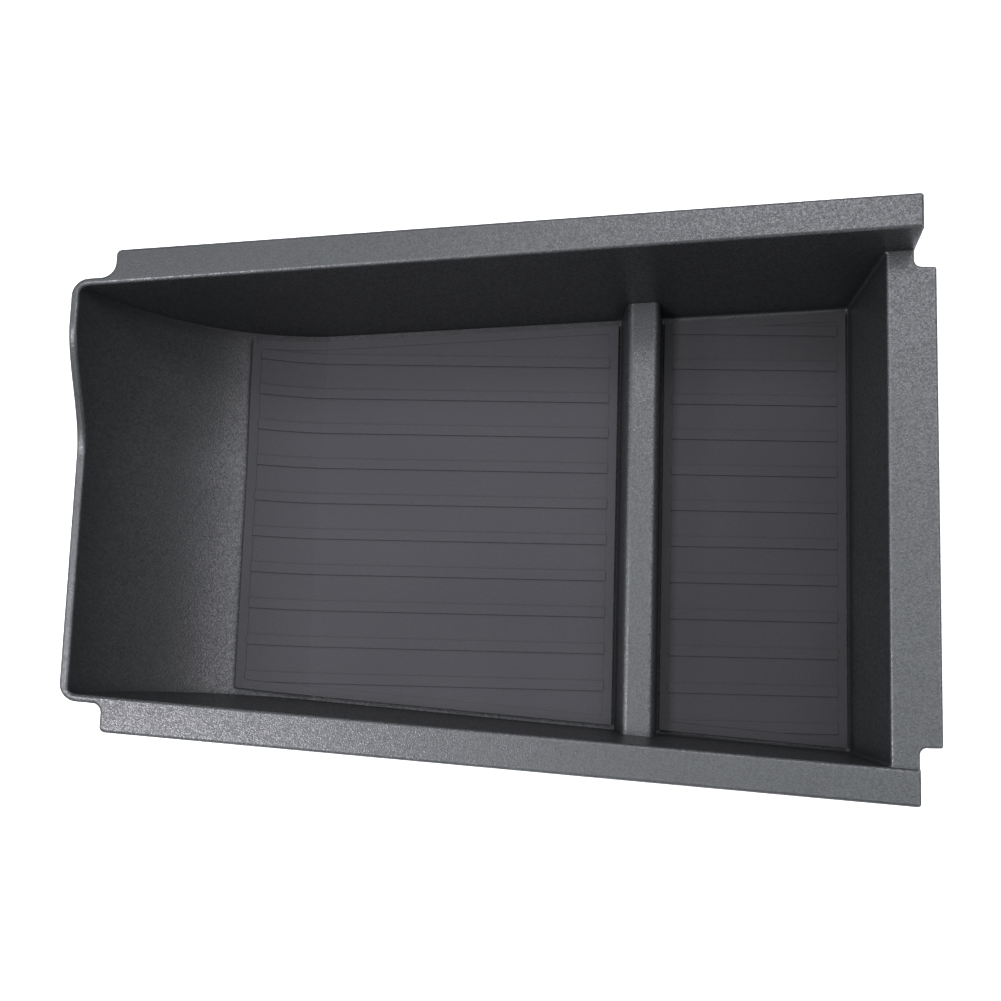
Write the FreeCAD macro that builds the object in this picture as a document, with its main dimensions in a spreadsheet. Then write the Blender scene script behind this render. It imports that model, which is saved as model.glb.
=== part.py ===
import FreeCAD, Part
import os
import re
import Sketcher
from FreeCAD import Rotation, Vector

# A drop-in organizer tray for a vehicle's centre console bin, in millimetres.
# +X runs from the curved lip to the ledge, +Y to the high side, +Z up.
# The origin is on the resting plane, under the middle of the overall length and width.

doc = FreeCAD.newDocument("console_tray")
dims = doc.addObject("Spreadsheet::Sheet", "Dims")
HAIR = 0.01

DIMENSIONS = [
    ("overall_length", 280.6),
    ("near_rim_height", 54.5),
    ("far_rim_height", 72.0),
    ("ledge_height", 52.7),
    ("wall_thickness", 2.5),
    ("floor_thickness", 2.5),
    ("flange_width", 11.4),
    ("flange_thickness", 2.5),
    ("flange_setback", 14.0),
    ("flange_corner", 2.0),
    ("flange_end_corner", 1.0),
    ("floor_half_narrow", 60.2),
    ("floor_half_wide", 78.3),
    ("far_lean_narrow", 1.9),
    ("far_lean_wide", 6.6),
    ("near_lean_narrow", 7.9),
    ("near_lean_wide", 6.6),
    ("lip_corner", 6.0),
    ("lip_inside_corner", 3.5),
    ("inside_corner", 1.0),
    ("far_flange_root", 5.0),
    ("near_flange_root", 3.0),
    ("ramp_length", 80.3),
    ("lip_face", 3.0),
    ("ramp_overrun", 0.5),
    ("ramp_rise_over", 3.0),
    ("lip_rise_start", 10.0),
    ("lip_rise_end", 50.0),
    ("ledge_width", 16.2),
    ("end_wall_draft", 5.8),
    ("notch_depth", 7.2),
    ("notch_width", 6.9),
    ("notch_corner", 2.2),
    ("ledge_corner", 0.8),
    ("divider_place", 45.3),
    ("divider_base", 14.0),
    ("divider_crown", 11.0),
    ("divider_lean", 0.5),
    ("divider_height", 17.0),
    ("divider_round", 2.5),
    ("rim_round", 1.0),
    ("edge_round", 0.8),
    ("foot_round", 1.0),
    ("mat_thickness", 1.6),
    ("mat_near_gap", 1.4),
    ("mat_far_gap", 2.3),
    ("mat_end_gap", 1.2),
    ("mat_seat_gap", 0.05),
    ("mat_ramp_reach", 35.0),
    ("mat_corner", 0.5),
    ("mat_border", 3.0),
    ("border_rise", 0.2),
    ("rib_rise", 0.5),
    ("rib_width", 3.4),
    ("rib_pitch", 12.7),
    ("rib_offset", 5.6),
]

for row, (alias, value) in enumerate(DIMENSIONS, start=1):
    dims.set(f"A{row}", alias)
    dims.set(f"B{row}", str(value))
    dims.setAlias(f"B{row}", alias)
doc.recompute()


def size(alias):
    """One driving dimension as a plain number."""
    return float(dims.get(alias))


# Places that follow from the driving dimensions, as formulas in the sheet's names.
LIP_X = "(-overall_length / 2)"
LIP_INNER_X = "(-overall_length / 2 + wall_thickness)"
LEDGE_END_X = "(overall_length / 2)"
FLANGE_LEFT_X = "(-overall_length / 2 + flange_setback)"
FLANGE_RIGHT_X = "(overall_length / 2 - notch_depth)"
LEDGE_INNER_X = "(overall_length / 2 - ledge_width)"
LEDGE_HALF_SPAN = "(floor_half_wide + near_lean_wide - notch_width)"
END_FOOT_X = f"({LEDGE_INNER_X} - end_wall_draft)"
RAMP_FOOT_X = f"({LIP_INNER_X} + ramp_length)"
PAST_END_X = "(overall_length / 2 + wall_thickness)"
DRAFT_REACH = "((far_rim_height - floor_thickness) / (near_rim_height - floor_thickness))"


def formula(text):
    """Writes the sheet's name before every alias in a formula."""
    aliases = {alias for alias, number in DIMENSIONS}
    return re.sub(r"[a-z_]+", lambda word: "Dims." * (word.group() in aliases) + word.group(), text)


def value(text):
    """Works out a formula as a plain number."""
    return float(dims.evalExpression(formula(text)))


def line_at(place, start, start_width, end, end_width):
    """Formula of a straight line's width at a place along X."""
    return f"({start_width} + ({end_width} - {start_width}) * ({place} - {start}) / ({end} - {start}))"


def floor_half(place):
    """Half width of the floor, which tapers the same on both sides."""
    return line_at(place, LIP_X, "floor_half_narrow", END_FOOT_X, "floor_half_wide")


def far_top(place):
    """Inside of the far wall at its rim."""
    narrow, wide = "(floor_half_narrow + far_lean_narrow)", "(floor_half_wide + far_lean_wide)"
    return line_at(place, LIP_X, narrow, FLANGE_RIGHT_X, wide)


def near_rim(place):
    """Inside of the near wall at its own, lower rim."""
    narrow, wide = "(floor_half_narrow + near_lean_narrow)", "(floor_half_wide + near_lean_wide)"
    return line_at(place, LIP_X, narrow, FLANGE_RIGHT_X, wide)


def near_top(place):
    """The near wall's draft carried on up to the height of the far rim."""
    return f"({floor_half(place)} + ({near_rim(place)} - {floor_half(place)}) * {DRAFT_REACH})"


def far_at_ledge(place):
    """Inside of the far wall at the height of the ledge, well below its rim."""
    climb = "((ledge_height - floor_thickness) / (far_rim_height - floor_thickness))"
    return f"({floor_half(place)} + ({far_top(place)} - {floor_half(place)}) * {climb})"


def polygon(name, corners, height="0", upright=False):
    """A closed sketch whose corners are bound to the sheet; upright ones lie in the XZ plane."""
    sketch = doc.addObject("Sketcher::SketchObject", name)
    if upright:
        sketch.Placement = FreeCAD.Placement(Vector(0, 0, 0), Rotation(Vector(1, 0, 0), 90))
    else:
        sketch.setExpression("Placement.Base.z", formula(height))
    bind_polygon(sketch, corners)
    return sketch


def bind_polygon(sketch, corners):
    """Adds one closed polygon to a sketch and ties each corner to its two formulas."""
    points = [Vector(value(across), value(up), 0) for across, up in corners]
    first = sketch.GeometryCount
    count = len(points)
    for index, point in enumerate(points):
        sketch.addGeometry(Part.LineSegment(point, points[(index + 1) % count]), False)
    for index in range(count):
        following = first + (index + 1) % count
        sketch.addConstraint(Sketcher.Constraint("Coincident", first + index, 2, following, 1))
    for index, (across, up) in enumerate(corners):
        for kind, text in (("DistanceX", across), ("DistanceY", up)):
            number = value(text)
            place = sketch.addConstraint(Sketcher.Constraint(kind, -1, 1, first + index, 1, number))
            sketch.setExpression(f"Constraints[{place}]", formula(text))


def loft(name, lower, upper):
    """A solid with straight walls between two sketches."""
    solid = doc.addObject("Part::Loft", name)
    solid.Sections = [lower, upper]
    solid.Solid = True
    solid.Ruled = True
    return solid


def extrude(name, sketch, direction, length, backward="0"):
    """A solid drawn from a sketch along a direction."""
    solid = doc.addObject("Part::Extrusion", name)
    solid.Base = sketch
    solid.DirMode = "Custom"
    solid.Dir = direction
    solid.Solid = True
    solid.setExpression("LengthFwd", formula(length))
    solid.setExpression("LengthRev", formula(backward))
    return solid


def cut(name, base, tool):
    """What is left of a solid once another is taken away."""
    result = doc.addObject("Part::Cut", name)
    result.Base = base
    result.Tool = tool
    return result


def join(name, shapes):
    """One solid made of several."""
    result = doc.addObject("Part::MultiFuse", name)
    result.Shapes = shapes
    result.Refine = True
    return result


def common(name, shapes):
    """The space that several solids share."""
    result = doc.addObject("Part::MultiCommon", name)
    result.Shapes = shapes
    return result


def round_edges(name, base, wanted, radius):
    """Rounds the edges that the wanted test picks out."""
    doc.recompute()
    picked = [place for place, edge in enumerate(base.Shape.Edges, start=1) if wanted(edge)]
    if not picked:
        raise ValueError(f"{name} found no edge to round")
    result = doc.addObject("Part::Fillet", name)
    result.Base = base
    result.Edges = [(place, radius, radius) for place in picked]
    return result


def ends(edge):
    """The two end points of an edge."""
    return edge.Vertexes[0].Point, edge.Vertexes[-1].Point


def is_steep(edge):
    """Whether an edge climbs more than it runs."""
    start, end = ends(edge)
    run = ((start.x - end.x) ** 2 + (start.y - end.y) ** 2) ** 0.5
    return abs(start.z - end.z) > max(2 * run, size("floor_thickness") / 2)


def at_lip(edge):
    """Whether an edge stands at the lip's end of a block."""
    return is_steep(edge) and max(point.x for point in ends(edge)) < value(LIP_INNER_X) + size("wall_thickness")


def middle(edge):
    """The point halfway along an edge."""
    return edge.valueAt((edge.FirstParameter + edge.LastParameter) / 2)


def is_near(number, target):
    """Whether two lengths agree to within a hair."""
    return abs(number - target) < HAIR


def plain_feature(name, shape):
    """A document object for a surface solid that no sketch or primitive fits."""
    feature = doc.addObject("Part::Feature", name)
    feature.Shape = shape
    return feature


def ramp_profile():
    """The ramp's side view as a curve of shares: flat at its foot, upright under the lip."""
    fullness, bluntness = 2.2, 0.77
    steps = 12
    shares = [1 - (1 - step / steps) ** 2 for step in range(steps + 1)]
    points = [Vector(share, 1 - (1 - share ** fullness) ** bluntness, 0) for share in shares]
    curve = Part.BSplineCurve()
    curve.interpolate(points)
    return curve


def lip_poles(low, high, half_span):
    """Control points of the lip's line across the tray: level, an even S, level again."""
    start, end = size("lip_rise_start"), size("lip_rise_end")
    stations = [(-half_span, low), (start, low), (end, high), (half_span, high)]
    poles = [stations[0]]
    for (before, left_height), (after, right_height) in zip(stations, stations[1:]):
        third = (after - before) / 3
        poles += [(before + third, left_height), (after - third, right_height)]
    poles.append(stations[-1])
    return poles, [station[0] for station in stations]


def ramp_solid(name, lip_x, foot_height, over):
    """Everything under the ramp's curved surface, which twists to follow the lip and runs out past it."""
    foot_x = value(RAMP_FOOT_X)
    end_x = lip_x - size("ramp_overrun")
    base_height = foot_height - size("ramp_overrun")
    half_span = value(near_rim(LEDGE_END_X)) + 4 * size("wall_thickness")
    low = size("near_rim_height") + over
    high = size("far_rim_height") + over
    across_poles, across_knots = lip_poles(low, high, half_span)
    profile = ramp_profile()
    poles = []
    for share in profile.getPoles():
        along = foot_x + (end_x - foot_x) * share.x
        rows = [(across, base_height + (top - base_height) * share.y) for across, top in across_poles]
        poles.append([Vector(along, across, height) for across, height in rows])
    surface = Part.BSplineSurface()
    surface.buildFromPolesMultsKnots(
        poles, profile.getMultiplicities(), [4, 2, 2, 4],
        profile.getKnots(), across_knots, False, False, profile.Degree, 3)
    depth = Vector(0, 0, -size("far_rim_height"))
    return plain_feature(name, surface.toShape().extrude(depth))


def tub_outline(name, left, right, near_width, far_width, grow, height):
    """One horizontal section of the tapered tub, grown outward by a thickness."""
    corners = [
        (left, f"-({near_width(left)} + {grow})"),
        (right, f"-({near_width(right)} + {grow})"),
        (right, f"({far_width(right)} + {grow})"),
        (left, f"({far_width(left)} + {grow})"),
    ]
    return polygon(name, corners, height)


def make_outside():
    """The tub's outside: drafted sides, the ramp's underside and the end wall under the ledge."""
    foot = tub_outline("outer_foot", LIP_X, FLANGE_RIGHT_X, floor_half, floor_half, "wall_thickness", "0")
    top = tub_outline("outer_top", LIP_X, FLANGE_RIGHT_X, near_top, far_top, "wall_thickness", "far_rim_height")
    block = loft("outer_block", foot, top)
    rounded = round_edges("outer_block_rounded", block, at_lip, size("lip_corner"))
    ramp = ramp_solid("under_ramp", value(LIP_X), 0, size("ramp_rise_over") - size("lip_face"))
    above_ramp = cut("outer_above_ramp", rounded, ramp)
    profile = polygon("under_ledge_profile", [
        (f"({END_FOOT_X} + wall_thickness)", "-floor_thickness"),
        (f"({END_FOOT_X} + wall_thickness)", "0"),
        (f"({LEDGE_INNER_X} + wall_thickness)", "(ledge_height - flange_thickness)"),
        (PAST_END_X, "(ledge_height - flange_thickness)"),
        (PAST_END_X, "-floor_thickness"),
    ], upright=True)
    under_ledge = extrude("under_ledge", profile, Vector(0, 1, 0), "overall_length / 2", "overall_length / 2")
    return cut("tub_outside", above_ramp, under_ledge)


def make_cavity():
    """The space inside the tub, open above the ledge."""
    foot = tub_outline("cavity_foot", LIP_INNER_X, PAST_END_X, floor_half, floor_half, "0", "floor_thickness")
    top = tub_outline("cavity_top", LIP_INNER_X, PAST_END_X, near_top, far_top, "0", "far_rim_height")
    block = loft("cavity_block", foot, top)
    block = round_edges("cavity_block_rounded", block, at_lip, size("lip_inside_corner"))
    ramp = ramp_solid("ramp_fill", value(LIP_INNER_X), size("floor_thickness"), size("ramp_rise_over"))
    above_ramp = cut("cavity_above_ramp", block, ramp)
    profile = polygon("end_block_profile", [
        (END_FOOT_X, "0"),
        (END_FOOT_X, "floor_thickness"),
        (LEDGE_INNER_X, "ledge_height"),
        (f"({PAST_END_X} + wall_thickness)", "ledge_height"),
        (f"({PAST_END_X} + wall_thickness)", "0"),
    ], upright=True)
    end_block = extrude("end_block", profile, Vector(0, 1, 0), "overall_length / 2", "overall_length / 2")
    return cut("cavity", above_ramp, end_block)


def make_flange(name, rim, outward, height):
    """One flat flange along a long side, reaching in to the wall's inside."""
    left, right = FLANGE_LEFT_X, FLANGE_RIGHT_X
    inner = "wall_thickness / 2"
    corners = [
        (left, f"{outward} * ({rim(left)} + {inner})"),
        (left, f"{outward} * ({rim(left)} + flange_width)"),
        (right, f"{outward} * ({rim(right)} + flange_width)"),
        (right, f"{outward} * ({rim(right)} + {inner})"),
    ]
    outline = polygon(f"{name}_outline", corners, f"{height} - flange_thickness")
    plate = extrude(name, outline, Vector(0, 0, 1), "flange_thickness")

    def at_outer_corner(edge):
        start = ends(edge)[0]
        return is_steep(edge) and abs(start.y) > value(f"{rim(str(start.x))} + flange_width / 2")

    def at_left_corner(edge):
        return at_outer_corner(edge) and ends(edge)[0].x < 0

    def at_right_corner(edge):
        return at_outer_corner(edge) and ends(edge)[0].x > 0

    left_rounded = round_edges(f"{name}_left_rounded", plate, at_left_corner, size("flange_corner"))
    return round_edges(f"{name}_rounded", left_rounded, at_right_corner, size("flange_end_corner"))


def make_ledge():
    """The end ledge, with a notch at each corner."""
    inner = f"({LEDGE_INNER_X} + wall_thickness / 2)"
    near_wall, far_wall = near_rim(inner), far_at_ledge(inner)
    corners = [
        (inner, f"-{near_wall}"),
        (FLANGE_RIGHT_X, f"-{near_wall}"),
        (FLANGE_RIGHT_X, f"-{LEDGE_HALF_SPAN}"),
        (LEDGE_END_X, f"-{LEDGE_HALF_SPAN}"),
        (LEDGE_END_X, LEDGE_HALF_SPAN),
        (FLANGE_RIGHT_X, LEDGE_HALF_SPAN),
        (FLANGE_RIGHT_X, far_wall),
        (inner, far_wall),
    ]
    outline = polygon("ledge_outline", corners, "ledge_height - flange_thickness")
    plate = extrude("ledge_plate", outline, Vector(0, 0, 1), "flange_thickness")
    notch_x, span = value(FLANGE_RIGHT_X), value(LEDGE_HALF_SPAN)

    def at_notch(edge):
        start = ends(edge)[0]
        return is_steep(edge) and is_near(start.x, notch_x) and is_near(abs(start.y), span)

    def at_corner(edge):
        return is_steep(edge) and is_near(ends(edge)[0].x, value(LEDGE_END_X))

    notched = round_edges("ledge_notched", plate, at_notch, size("notch_corner"))
    return round_edges("ledge_rounded", notched, at_corner, size("ledge_corner"))


def make_above_rim():
    """The air above the rim: low over the near side, high over the far side, an even S between."""
    half_span = size("overall_length") / 2
    low, high = size("near_rim_height"), size("far_rim_height")
    start, end = size("lip_rise_start"), size("lip_rise_end")
    third = (end - start) / 3
    rise = Part.BezierCurve()
    rise.setPoles([Vector(0, start, low), Vector(0, start + third, low),
                   Vector(0, end - third, high), Vector(0, end, high)])
    outline = [Vector(0, end, high), Vector(0, half_span, high), Vector(0, half_span, 2 * high),
               Vector(0, -half_span, 2 * high), Vector(0, -half_span, low), Vector(0, start, low)]
    edges = [rise.toShape()] + [Part.LineSegment(a, b).toShape() for a, b in zip(outline, outline[1:])]
    face = Part.Face(Part.Wire(edges))
    face.translate(Vector(-size("overall_length"), 0, 0))
    return plain_feature("above_rim", face.extrude(Vector(2 * size("overall_length"), 0, 0)))


def trapezoid(name, foot, crown, bottom, top, reach):
    """A bar across the tray with leaning sides, given its widths at the foot and at the crown."""
    profile = polygon(f"{name}_profile", [
        (f"(divider_place - {foot} / 2)", bottom),
        (f"(divider_place + {foot} / 2)", bottom),
        (f"(divider_place + divider_lean + {crown} / 2)", top),
        (f"(divider_place + divider_lean - {crown} / 2)", top),
    ], upright=True)
    return extrude(name, profile, Vector(0, 1, 0), reach, reach)


def make_divider(cavity):
    """The low rib across the tub, with drafted sides and a rounded crown."""
    top = "(floor_thickness + divider_height)"
    rib = trapezoid("divider_rib", "divider_base", "divider_crown", "floor_thickness", top, "overall_length / 2")
    crown = value(top)

    def at_crown(edge):
        start, end = ends(edge)
        return is_near(start.z, crown) and is_near(end.z, crown) and is_near(start.x, end.x)

    rounded = round_edges("divider_rounded", rib, at_crown, size("divider_round"))
    return common("divider", [rounded, cavity])


def make_divider_hollow():
    """The space under the divider, which keeps its skin as thin as the floor."""
    foot, crown = "(divider_base - 2 * wall_thickness)", "(divider_crown - 2 * wall_thickness)"
    reach = floor_half("divider_place")
    return trapezoid("divider_hollow", foot, crown, "-floor_thickness", "divider_height", reach)


def make_shell():
    """The whole moulding."""
    outside = make_outside()
    cavity = make_cavity()
    far_flange = make_flange("far_flange", far_top, "1", "far_rim_height")
    near_flange = make_flange("near_flange", near_rim, "-1", "near_rim_height")
    ledge = make_ledge()
    block = join("shell_block", [outside, far_flange, near_flange, ledge])
    under_rim = cut("shell_under_rim", block, make_above_rim())
    hollow = cut("shell_hollow", under_rim, cavity)
    divided = join("shell_divided", [hollow, make_divider(cavity)])
    return finish_edges(cut("shell_sharp", divided, make_divider_hollow()))


def wall_inside(point):
    """Distance from the middle line to the inside of the rim next to a point."""
    rim = near_rim if point.y < 0 else far_top
    return value(rim(str(point.x)))


def level_at(edge, height):
    """Whether an edge lies level at a height."""
    return all(is_near(point.z, height) for point in ends(edge) + (middle(edge),))


def at_flange_root(edge):
    """Whether an edge is the upright corner between a flange's left end and the wall."""
    start = ends(edge)[0]
    beside_wall = abs(start.y) < wall_inside(start) + 2 * size("wall_thickness")
    return is_steep(edge) and is_near(start.x, value(FLANGE_LEFT_X)) and beside_wall


def at_far_root(edge):
    """Whether an edge is the far flange's root corner."""
    return at_flange_root(edge) and middle(edge).y > 0


def at_near_root(edge):
    """Whether an edge is the near flange's root corner."""
    return at_flange_root(edge) and middle(edge).y < 0


def at_end_wall(edge):
    """Whether an edge is an upright corner of the end wall, inside or out."""
    low_end = min(end.x for end in ends(edge))
    outside = is_near(low_end, value(END_FOOT_X) + size("wall_thickness"))
    inside = is_near(low_end, value(END_FOOT_X))
    return is_steep(edge) and (inside or outside) and middle(edge).z > size("floor_thickness")


def at_foot(edge):
    """Whether an edge is where the divider or the end wall rises from the floor."""
    start, end = ends(edge)
    corner = size("inside_corner")
    by_divider = is_near(abs(middle(edge).x - size("divider_place")), size("divider_base") / 2)
    by_end_wall = middle(edge).x > value(END_FOOT_X) - corner and abs(start.x - end.x) < corner + HAIR
    return level_at(edge, size("floor_thickness")) and (by_divider or by_end_wall)


def on_rim(edge):
    """Whether an edge runs along the top of the rim, inside or out, round the lip and the flanges."""
    start, end = ends(edge)
    if is_near(start.y, end.y) or min(start.z, end.z) < size("near_rim_height") - HAIR:
        return False
    low, high = size("near_rim_height"), size("far_rim_height")
    rising = is_near(min(start.z, end.z), low) and is_near(max(start.z, end.z), high)
    return rising or level_at(edge, low) or level_at(edge, high)


def on_ledge(edge):
    """Whether an edge is the ledge's inner edge or one of its free outer edges."""
    point = middle(edge)
    outer = point.x > value(FLANGE_RIGHT_X) and not is_near(point.x, value(FLANGE_RIGHT_X))
    inner = point.x > value(END_FOOT_X) and point.x < value(LEDGE_INNER_X) + HAIR \
        and abs(ends(edge)[0].y - ends(edge)[1].y) > size("inside_corner") / 2
    return level_at(edge, size("ledge_height")) and (outer or inner)


def finish_edges(sharp):
    """Breaks the moulding's edges as its tool would."""
    stages = [
        ("far_root", at_far_root, "far_flange_root"),
        ("near_root", at_near_root, "near_flange_root"),
        ("end_wall", at_end_wall, "inside_corner"),
        ("feet", at_foot, "foot_round"),
        ("rim", on_rim, "rim_round"),
        ("ledge", on_ledge, "edge_round"),
    ]
    result = sharp
    for name, wanted, radius in stages:
        result = round_edges(f"shell_{name}", result, wanted, size(radius))
    result.Label = "tray_shell"
    return result


def make_ground(name, left, right, rise, on_ramp):
    """The floor, and the ramp where a mat climbs it, carried up by a thickness."""
    corners = [(left, f"-{near_rim(right)}"), (right, f"-{near_rim(right)}"),
               (right, near_rim(right)), (left, near_rim(left))]
    outline = polygon(f"{name}_outline", corners)
    floor = extrude(f"{name}_floor", outline, Vector(0, 0, 1), f"floor_thickness + {rise}")
    if not on_ramp:
        return floor
    lift = value(rise)
    ramp = ramp_solid(f"{name}_ramp", value(LIP_INNER_X), size("floor_thickness") + lift,
                      size("ramp_rise_over") + lift)
    return join(name, [floor, ramp])


def mat_prism(name, left, right, inset):
    """An upright block on the mat's tapered outline, with its corners rounded."""
    corners = [
        (f"({left} + {inset})", f"-({floor_half(left)} - mat_near_gap - {inset})"),
        (f"({right} - {inset})", f"-({floor_half(right)} - mat_near_gap - {inset})"),
        (f"({right} - {inset})", f"({floor_half(right)} - mat_far_gap - {inset})"),
        (f"({left} + {inset})", f"({floor_half(left)} - mat_far_gap - {inset})"),
    ]
    outline = polygon(f"{name}_outline", corners)
    block = extrude(f"{name}_block", outline, Vector(0, 0, 1), "near_rim_height")
    return round_edges(name, block, is_steep, size("mat_corner"))


def make_ribs(name, left, right):
    """Straight bars along the mat at an even pitch, to be trimmed by the mat's inset outline."""
    outline = polygon(f"{name}_outline", rib_corners(left, right, 0))
    reach = value(floor_half(right))
    last = int(reach / size("rib_pitch")) + 1
    for step in range(-last, last + 1):
        if step != 0:
            bind_polygon(outline, rib_corners(left, right, step))
    return extrude(name, outline, Vector(0, 0, 1), "near_rim_height")


def rib_corners(left, right, step):
    """One rib's outline, a whole number of pitches from the first."""
    near = f"(rib_offset + {step} * rib_pitch - rib_width / 2)"
    far = f"(rib_offset + {step} * rib_pitch + rib_width / 2)"
    return [(left, near), (right, near), (right, far), (left, far)]


def make_mat(name, left, right, on_ramp):
    """A thin mat with a low border and ribs that end at the border."""
    outline = mat_prism(f"{name}_whole", left, right, "0")
    inside = mat_prism(f"{name}_inside", left, right, "mat_border")
    border = cut(f"{name}_border", outline, inside)
    ribs = common(f"{name}_ribs", [make_ribs(f"{name}_bars", left, right), inside])
    layers = []
    for part, solid, rise in (("field", outline, "0"), ("edge", border, "border_rise"), ("rib", ribs, "rib_rise")):
        ground = make_ground(f"{name}_{part}_top", left, right, f"(mat_thickness + {rise})", on_ramp)
        layers.append(common(f"{name}_{part}_layer", [solid, ground]))
    seat = make_ground(f"{name}_seat", left, right, "mat_seat_gap", on_ramp)
    layered = join(f"{name}_layers", layers)
    layered.Refine = False
    return cut(name, layered, seat)


shell = make_shell()
main_mat = make_mat("main_mat", f"({RAMP_FOOT_X} - mat_ramp_reach)",
                    "(divider_place - divider_base / 2 - mat_end_gap)", True)
small_mat = make_mat("small_mat", "(divider_place + divider_base / 2 + mat_end_gap)",
                     f"({END_FOOT_X} - mat_end_gap)", False)
doc.recompute()

for item in doc.Objects:
    bad = {"Invalid", "Error"} & set(item.State)
    if bad:
        raise ValueError(f"{item.Name} is {sorted(bad)}")
os.makedirs("parts", exist_ok=True)
for piece in (shell, main_mat, small_mat):
    if piece.Shape.isNull() or not piece.Shape.isValid() or len(piece.Shape.Solids) != 1:
        raise ValueError(f"{piece.Name} is not one valid solid")
    piece.Shape.exportStep(f"parts/{piece.Label}.step")
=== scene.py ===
import math
import bpy
from mathutils import Matrix, Vector

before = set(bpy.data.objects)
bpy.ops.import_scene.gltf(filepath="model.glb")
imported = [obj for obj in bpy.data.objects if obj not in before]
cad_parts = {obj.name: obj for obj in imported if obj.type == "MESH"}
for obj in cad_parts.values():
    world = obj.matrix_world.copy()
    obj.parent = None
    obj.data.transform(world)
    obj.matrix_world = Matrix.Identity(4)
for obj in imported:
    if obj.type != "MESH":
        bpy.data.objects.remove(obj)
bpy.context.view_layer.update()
scene = bpy.context.scene
scene.view_settings.view_transform = "Standard"
scene.view_settings.look = "None"

# The camera stands where the photograph's lines meet: above the tray, a little to the near side.
CAMERA_PLACE = (0.0370, -0.0999, 0.6017)
CAMERA_TILT, CAMERA_PAN, CAMERA_ROLL = -0.1757, 0.0662, 0.0191
FOCAL_PIXELS = 1728.0
IMAGE_PIXELS = 1001
SENSOR_MM = 36.0
FARTHEST_SEEN = 20.0

# Sizes of the surface textures, in metres.
GRAIN = 0.0005
RELIEF = 0.0005
RELIEF_DEPTH = 0.00008
PATCH = 0.045
MAT_GRAIN = 0.0004
MAT_PATCH = 0.06

# How far the edges with painted highlight and polish, the corners with painted shade, the dull corners and
# the ribs with painted shade reach, in metres.
EDGE_REACH = 0.0012
CORNER_SHADE_REACH = 0.006
DULL_REACH = 0.004
RIB_SHADE_REACH = 0.0012
REACH_SAMPLES = 6

SHELL_COLOUR = (0.0155, 0.016, 0.0165)
MAT_COLOUR = (0.0233, 0.022, 0.0248)
# The small mat is the same rubber as the main mat; its darker colour is painted shade.
SMALL_MAT_SHADED_COLOUR = (0.0128, 0.0119, 0.0133)
FLOOR_COLOUR = (0.93, 0.93, 0.93)
FLOOR_HALF = 3.0
FLOOR_GLOW = 0.5

# What the plastic's lightness is multiplied by along its edges, a painted highlight, and what its
# roughness is multiplied by where its edges are polished.
EDGE_HIGHLIGHT_SHARE = 8.0
EDGE_ROUGHNESS = 0.45

# The surroundings' light at the horizon and overhead. It is even above the horizon's top, which is
# the sine of a height angle.
HORIZON_LIGHT, SKY_LIGHT = 0.75, 0.15
HORIZON_TOP = 0.45

WHITE = (1.0, 1.0, 1.0, 1.0)
LIGHT_COLOUR = (0.87, 0.955, 1.0)
SIDE_COLOUR = (0.95, 0.92, 1.0)
TRAY_MIDDLE = (0.0, 0.0, 0.0)


def add_node(tree, kind, **inputs):
    """Adds a shader node; an input is a plain value or another node's output socket."""
    node = tree.nodes.new(kind)
    for name, value in inputs.items():
        socket = node.inputs[name.replace("_", " ")]
        if isinstance(value, bpy.types.NodeSocket):
            tree.links.new(value, socket)
        else:
            socket.default_value = value
    return node


def blank_material(name):
    """A material with only its surface shader and output, and the shader to fill in."""
    material = bpy.data.materials.new(name)
    material.use_nodes = True
    tree = material.node_tree
    tree.nodes.clear()
    output = tree.nodes.new("ShaderNodeOutputMaterial")
    shader = tree.nodes.new("ShaderNodeBsdfPrincipled")
    tree.links.new(shader.outputs["BSDF"], output.inputs["Surface"])
    return material, tree, shader


def noise(tree, place, size, detail):
    """Soft noise whose spots are about the given size."""
    texture = add_node(tree, "ShaderNodeTexNoise", Vector=place, Scale=1.0 / size, Detail=detail)
    return texture.outputs["Fac"]


def spread(tree, value, low, high, out_low, out_high):
    """Stretches a range of values on to another range."""
    node = add_node(tree, "ShaderNodeMapRange", Value=value)
    for name, number in (("From Min", low), ("From Max", high), ("To Min", out_low), ("To Max", out_high)):
        node.inputs[name].default_value = number
    return node.outputs["Result"]


def tint(tree, colour, factor):
    """A colour made lighter or darker by a factor socket."""
    node = tree.nodes.new("ShaderNodeVectorMath")
    node.operation = "SCALE"
    node.inputs[0].default_value = colour
    tree.links.new(factor, node.inputs["Scale"])
    return node.outputs["Vector"]


def math_node(tree, operation, first, second):
    """Adds or multiplies two values or sockets, as the operation says."""
    node = tree.nodes.new("ShaderNodeMath")
    node.operation = operation
    for socket, value in zip(node.inputs, (first, second)):
        if isinstance(value, bpy.types.NodeSocket):
            tree.links.new(value, socket)
        else:
            socket.default_value = value
    return node.outputs["Value"]


def edge_mask(tree, reach):
    """Near one along edges that stick out and zero on flat ground; it marks the painted edge highlight and
    the polished edges.
    """
    thin = tree.nodes.new("ShaderNodeAmbientOcclusion")
    thin.inside = True
    thin.samples = REACH_SAMPLES
    thin.inputs["Distance"].default_value = reach
    return spread(tree, thin.outputs["AO"], 0.9, 0.45, 0.0, 1.0)


def grains(tree, place, size):
    """A random number for each grain of about the given size."""
    cells = add_node(tree, "ShaderNodeTexVoronoi", Vector=place, Scale=1.0 / size)
    split = add_node(tree, "ShaderNodeSeparateColor", Color=cells.outputs["Color"])
    return split.outputs["Red"]


def bump(tree, height, strength):
    """Surface relief from a height socket."""
    node = add_node(tree, "ShaderNodeBump", Height=height, Distance=RELIEF_DEPTH, Strength=strength)
    return node.outputs["Normal"]


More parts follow.
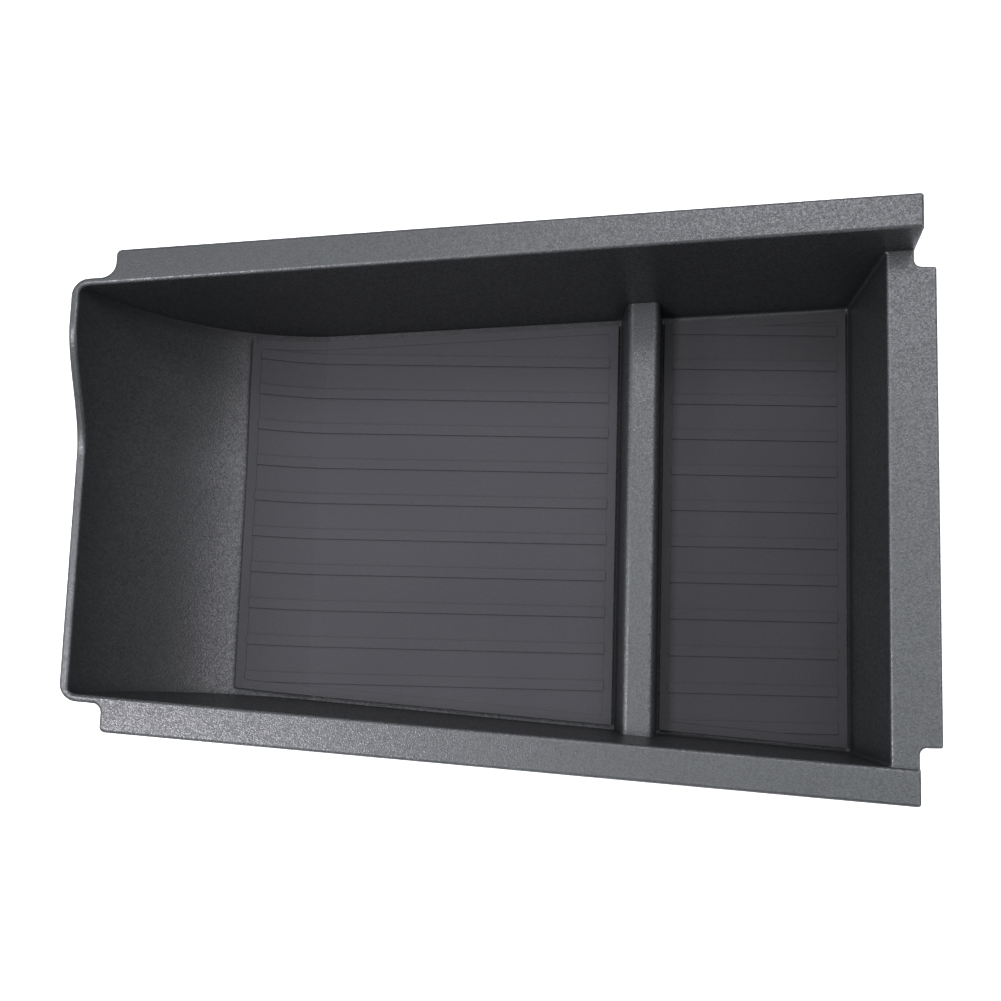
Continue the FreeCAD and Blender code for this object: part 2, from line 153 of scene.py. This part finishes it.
def creases(tree, reach, darkest):
    """One on open ground, falling to the darkest share beside a step, a foot or a gap; used as painted
    shade in colours and as dullness in roughness.
    """
    shade = tree.nodes.new("ShaderNodeAmbientOcclusion")
    shade.samples = REACH_SAMPLES
    shade.inputs["Distance"].default_value = reach
    return spread(tree, shade.outputs["AO"], 0.3, 0.9, darkest, 1.0)


def product(tree, *factors):
    """All the factors multiplied together."""
    result = factors[0]
    for factor in factors[1:]:
        result = math_node(tree, "MULTIPLY", result, factor)
    return result


def shell_plastic():
    """Black moulded plastic with a fine spark-eroded grain, a little polished along its edges, with a
    painted highlight along its edges and painted shade in its corners.
    """
    material, tree, shader = blank_material("shell_plastic")
    place = tree.nodes.new("ShaderNodeTexCoord").outputs["Object"]
    speckle = grains(tree, place, GRAIN)
    relief = noise(tree, place, RELIEF, 1.0)
    broad = noise(tree, place, PATCH, 3.0)
    edge_highlight_and_polish = edge_mask(tree, EDGE_REACH)
    patchy = spread(tree, broad, 0.3, 0.7, 0.9, 1.12)
    grainy = spread(tree, speckle, 0.0, 1.0, 0.5, 1.5)
    # The plastic is painted lighter along its edges: a painted highlight.
    painted_highlight = spread(tree, edge_highlight_and_polish, 0.0, 1.0, 1.0, EDGE_HIGHLIGHT_SHARE)
    # The plastic is painted darker beside steps, feet and gaps: painted shade.
    shade = product(tree, patchy, grainy, painted_highlight, creases(tree, CORNER_SHADE_REACH, 0.12))
    tree.links.new(tint(tree, SHELL_COLOUR, shade), shader.inputs["Base Color"])
    rubbed = spread(tree, edge_highlight_and_polish, 0.0, 1.0, 1.0, EDGE_ROUGHNESS)
    rough = product(tree, spread(tree, speckle, 0.0, 1.0, 0.48, 0.28), rubbed)
    dull = spread(tree, creases(tree, DULL_REACH, 0.0), 0.0, 0.7, 0.4, 0.0)
    tree.links.new(math_node(tree, "ADD", rough, dull), shader.inputs["Roughness"])
    tree.links.new(bump(tree, relief, 1.0), shader.inputs["Normal"])
    shader.inputs["Specular IOR Level"].default_value = 0.5
    return material


def mat_rubber(name, colour):
    """Matte rubber with a very fine grain, with painted shade along its ribs and edges."""
    material, tree, shader = blank_material(name)
    place = tree.nodes.new("ShaderNodeTexCoord").outputs["Object"]
    fine = noise(tree, place, MAT_GRAIN, 1.0)
    broad = noise(tree, place, MAT_PATCH, 2.0)
    patchy = spread(tree, broad, 0.3, 0.7, 0.95, 1.05)
    speckle = spread(tree, fine, 0.3, 0.7, 0.9, 1.1)
    # The rubber is painted darker beside its ribs and edges: painted shade.
    shade = product(tree, patchy, speckle, creases(tree, RIB_SHADE_REACH, 0.2))
    tree.links.new(tint(tree, colour, shade), shader.inputs["Base Color"])
    tree.links.new(spread(tree, broad, 0.3, 0.7, 0.66, 0.74), shader.inputs["Roughness"])
    tree.links.new(bump(tree, fine, 0.8), shader.inputs["Normal"])
    shader.inputs["Specular IOR Level"].default_value = 0.3
    return material


def paint(node_name, material):
    """Gives a CAD node its finished material."""
    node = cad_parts[node_name]
    node.data.materials.clear()
    node.data.materials.append(material)


def make_floor():
    """A plain pale floor under the tray."""
    signs = [(-1, -1), (1, -1), (1, 1), (-1, 1)]
    corners = [(across * FLOOR_HALF, along * FLOOR_HALF, 0) for across, along in signs]
    mesh = bpy.data.meshes.new("floor")
    mesh.from_pydata(corners, [], [(0, 1, 2, 3)])
    floor = bpy.data.objects.new("floor", mesh)
    scene.collection.objects.link(floor)
    material, tree, shader = blank_material("floor_paper")
    shader.inputs["Base Color"].default_value = FLOOR_COLOUR + (1.0,)
    shader.inputs["Roughness"].default_value = 0.9
    shader.inputs["Emission Color"].default_value = FLOOR_COLOUR + (1.0,)
    shader.inputs["Emission Strength"].default_value = FLOOR_GLOW
    mesh.materials.append(material)


def soft_light(name, place, target, width, depth, brightness, colour=LIGHT_COLOUR):
    """A flat studio light that faces a point, as bright per unit of its face as stated."""
    light = bpy.data.lights.new(name, "AREA")
    light.shape = "RECTANGLE"
    light.size, light.size_y = width, depth
    light.energy = brightness * math.pi * width * depth
    light.color = colour
    holder = bpy.data.objects.new(name, light)
    holder.location = place
    holder.rotation_euler = (Vector(target) - Vector(place)).to_track_quat("-Z", "Y").to_euler()
    scene.collection.objects.link(holder)


def make_light():
    """White surroundings, pale near the horizon, and soft lights, the narrow ones for the edges."""
    world = bpy.data.worlds.new("studio")
    world.use_nodes = True
    tree = world.node_tree
    background = tree.nodes["Background"]
    background.inputs["Color"].default_value = WHITE
    direction = tree.nodes.new("ShaderNodeTexCoord").outputs["Generated"]
    height = add_node(tree, "ShaderNodeSeparateXYZ", Vector=direction).outputs["Z"]
    fading = spread(tree, height, 0.0, HORIZON_TOP, HORIZON_LIGHT, SKY_LIGHT)
    tree.links.new(fading, background.inputs["Strength"])
    scene.world = world
    soft_light("overhead", place=(0.1, 0.15, 1.3), target=(0.1, 0.15, 0.0),
               width=1.5, depth=1.0, brightness=2.65)
    soft_light("over_right", place=(0.85, 0.1, 1.2), target=TRAY_MIDDLE,
               width=0.5, depth=0.8, brightness=4.5, colour=SIDE_COLOUR)
    soft_light("far_right", place=(0.22, 0.63, 1.28), target=(0.1, 0.05, 0.0),
               width=0.45, depth=0.3, brightness=16.0, colour=SIDE_COLOUR)
    soft_light("near_left", place=(-0.5, -0.18, 1.2), target=(-0.1, -0.05, 0.0),
               width=0.3, depth=0.25, brightness=60.0, colour=SIDE_COLOUR)
    soft_light("left_strip", place=(-1.2, 0.0, 1.0), target=TRAY_MIDDLE,
               width=0.8, depth=0.3, brightness=11.0)
    soft_light("far_strip", place=(0.1, 1.1, 1.0), target=TRAY_MIDDLE,
               width=0.8, depth=0.2, brightness=3.0)
    soft_light("near_strip", place=(-0.3, -1.1, 1.0), target=TRAY_MIDDLE,
               width=0.6, depth=0.2, brightness=13.0)


def make_camera():
    """The camera, set by its place, its three turns and its focal length."""
    tilt_cos, tilt_sin = math.cos(CAMERA_TILT), math.sin(CAMERA_TILT)
    pan_cos, pan_sin = math.cos(CAMERA_PAN), math.sin(CAMERA_PAN)
    roll_cos, roll_sin = math.cos(CAMERA_ROLL), math.sin(CAMERA_ROLL)
    looking_down = Matrix(((1, 0, 0), (0, -1, 0), (0, 0, -1)))
    tilt = Matrix(((1, 0, 0), (0, tilt_cos, -tilt_sin), (0, tilt_sin, tilt_cos)))
    pan = Matrix(((pan_cos, 0, pan_sin), (0, 1, 0), (-pan_sin, 0, pan_cos)))
    roll = Matrix(((roll_cos, -roll_sin, 0), (roll_sin, roll_cos, 0), (0, 0, 1)))
    axes = roll @ pan @ tilt @ looking_down
    turn = Matrix((axes[0], -axes[1], -axes[2])).transposed()
    camera = bpy.data.cameras.new("camera")
    camera.sensor_width = SENSOR_MM
    camera.lens = FOCAL_PIXELS / IMAGE_PIXELS * SENSOR_MM
    camera.clip_end = FARTHEST_SEEN
    holder = bpy.data.objects.new("camera", camera)
    holder.matrix_world = Matrix.Translation(CAMERA_PLACE) @ turn.to_4x4()
    scene.collection.objects.link(holder)
    scene.camera = holder


make_camera()
make_light()
make_floor()
paint("tray_shell", shell_plastic())
paint("main_mat", mat_rubber("main_mat_rubber", MAT_COLOUR))
# The small mat's darker colour is painted shade.
paint("small_mat", mat_rubber("small_mat_rubber_shaded", SMALL_MAT_SHADED_COLOUR))
